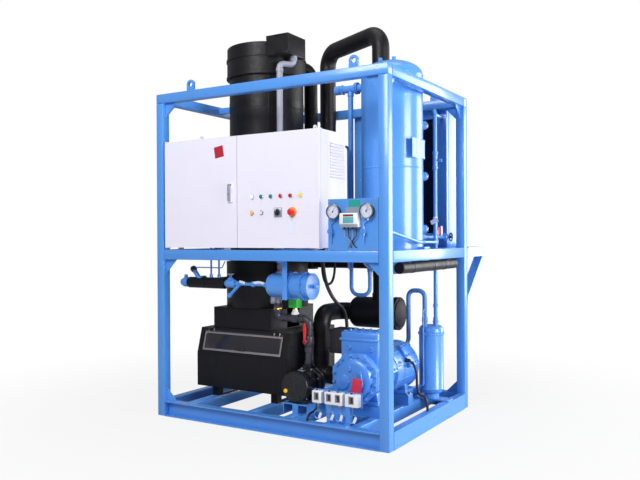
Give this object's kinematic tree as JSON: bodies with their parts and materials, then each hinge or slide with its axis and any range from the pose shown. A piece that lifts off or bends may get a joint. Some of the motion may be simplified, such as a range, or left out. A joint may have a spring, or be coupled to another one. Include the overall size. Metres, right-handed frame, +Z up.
{
  "type": "tube ice machine",
  "caption": "Skid-framed tube ice machine: insulated evaporator column over a water tank, control cabinet, compressor, receiver, separator, pump and pipework.",
  "frame": {"origin": "floor level, at the middle of the rectangle of anchor holes in the base", "axes": "+X to the right and -Y out of the front, seen from the control cabinet side, +Z up"},
  "size_m": [1.68, 1.64, 2.573],
  "materials": {
    "blue_paint": "gloss sky blue machine paint",
    "white_paint": "semi-gloss white powder coat",
    "insulation": "satin black closed-cell insulation",
    "black_paint": "semi-gloss black paint",
    "dark_plastic": "matt",
    "grey_plastic": "matt",
    "white_plastic": "satin",
    "yellow_plastic": "gloss",
    "red_plastic": "gloss",
    "green_plastic": "satin",
    "lamp_lens": "translucent",
    "zinc_plate": "zinc plated",
    "steel": "brushed",
    "clear_lens": "clear",
    "clear_cover": "clear",
    "light_pipe": "satin",
    "dark_pipe": "satin",
    "cable_rubber": "matt"
  },
  "bodies": {
    "frame": {"base_rails": "blue_paint", "deck_beams": "blue_paint", "corner_posts": "blue_paint", "top_beams": "blue_paint", "middle_beams": "blue_paint", "rear_support": "blue_paint", "corner_gussets": "blue_paint", "lifting_eyes": "blue_paint", "cabinet_shell": "white_paint", "equipment_plate": "zinc_plate", "contactors": "grey_plastic", "gauge_panel": "blue_paint", "gauge_cases": "dark_plastic", "gauge_lenses": "clear_lens", "temperature_controller": "white_plastic", "gauge_valves": "blue_paint", "evaporator_body": "insulation", "evaporator_cap": "insulation", "water_distribution_box": "insulation", "water_riser_pipe": "light_pipe", "cutter_housing": "insulation", "water_tank": "insulation", "pump_motor": "black_paint", "pump_base": "blue_paint", "pump_pipe": "dark_pipe", "solenoid_valve": "green_plastic", "suction_arch_pipe": "insulation", "insulated_pipes": "insulation", "suction_filter": "insulation", "receiver_vessel": "blue_paint", "sight_glasses": "lamp_lens", "liquid_pipes": "blue_paint", "filter_drier": "blue_paint", "drier_line": "insulation", "compressor_body": "blue_paint", "compressor_base": "blue_paint", "compressor_end_cover": "blue_paint", "terminal_box": "dark_plastic", "oil_separator": "blue_paint", "hot_gas_pipes": "blue_paint", "pressure_switches": "white_plastic", "switch_bracket": "blue_paint", "capillaries": "blue_paint", "cables": "cable_rubber", "rear_casing": "blue_paint"},
    "left_door": {"left_door": "white_paint"},
    "lock_lever": {"door_lock_lever": "dark_plastic"},
    "right_door": {"right_door": "white_paint", "pilot_lamps": "lamp_lens", "switch_plates": "grey_plastic"},
    "yellow_button": {"yellow_button": "yellow_plastic"},
    "white_button": {"white_button": "white_plastic"},
    "selector": {"selector_knob": "dark_plastic"},
    "emergency_button": {"emergency_button": "red_plastic"},
    "low_needle": {"low_pressure_needle": "dark_plastic"},
    "high_needle": {"high_pressure_needle": "dark_plastic"},
    "inspection_cover": {"inspection_cover": "clear_cover"},
    "ice_cutter": {"ice_cutter": "steel"},
    "valve_handle": {"ball_valve_handle": "red_plastic"},
    "valve_wheel": {"handwheel": "dark_plastic"}
  },
  "joints": [
    {"name": "left_door_hinge", "type": "hinge", "parent": "frame", "child": "left_door", "pos_m": [-0.759, -0.605, 1.44], "axis": [0, 0, -1], "range_deg": [0, 105]},
    {"name": "right_door_hinge", "type": "hinge", "parent": "frame", "child": "right_door", "pos_m": [0.397, -0.605, 1.44], "axis": [0, 0, 1], "range_deg": [0, 105]},
    {"name": "lock_lever_turn", "type": "hinge", "parent": "left_door", "child": "lock_lever", "pos_m": [-0.23, -0.625, 1.398], "axis": [0, -1, 0], "range_deg": [0, 90]},
    {"name": "yellow_button_push", "type": "slide", "parent": "right_door", "child": "yellow_button", "axis": [0, 1, 0], "range_m": [0, 0.004], "stiffness_N_per_m": 250, "springref_m": -0.002},
    {"name": "white_button_push", "type": "slide", "parent": "right_door", "child": "white_button", "axis": [0, 1, 0], "range_m": [0, 0.004], "stiffness_N_per_m": 250, "springref_m": -0.002},
    {"name": "selector_turn", "type": "hinge", "parent": "right_door", "child": "selector", "pos_m": [0.124, -0.63, 1.309], "axis": [0, 1, 0], "range_deg": [0, 90]},
    {"name": "emergency_button_push", "type": "slide", "parent": "right_door", "child": "emergency_button", "axis": [0, 1, 0], "range_m": [0, 0.005]},
    {"name": "low_needle_turn", "type": "hinge", "parent": "frame", "child": "low_needle", "pos_m": [0.5105, -0.643, 1.304], "axis": [0, 1, 0], "range_deg": [-160, 105]},
    {"name": "high_needle_turn", "type": "hinge", "parent": "frame", "child": "high_needle", "pos_m": [0.7205, -0.643, 1.304], "axis": [0, 1, 0], "range_deg": [-160, 105]},
    {"name": "inspection_cover_hinge", "type": "hinge", "parent": "frame", "child": "inspection_cover", "pos_m": [-0.363, -0.31252, 0.54373], "axis": [-1, 0, 0], "range_deg": [0, 95]},
    {"name": "ice_cutter_spin", "type": "hinge", "parent": "frame", "child": "ice_cutter", "pos_m": [-0.372, -0.025, 0.5], "axis": [0, 0, 1], "continuous": true},
    {"name": "valve_handle_turn", "type": "hinge", "parent": "frame", "child": "valve_handle", "pos_m": [0.15, -0.37, 0.52], "axis": [0, 1, 0], "range_deg": [0, 90]},
    {"name": "valve_wheel_spin", "type": "hinge", "parent": "frame", "child": "valve_wheel", "pos_m": [0.751, 0.52, 1.16], "axis": [1, 0, 0], "continuous": true}
  ]
}
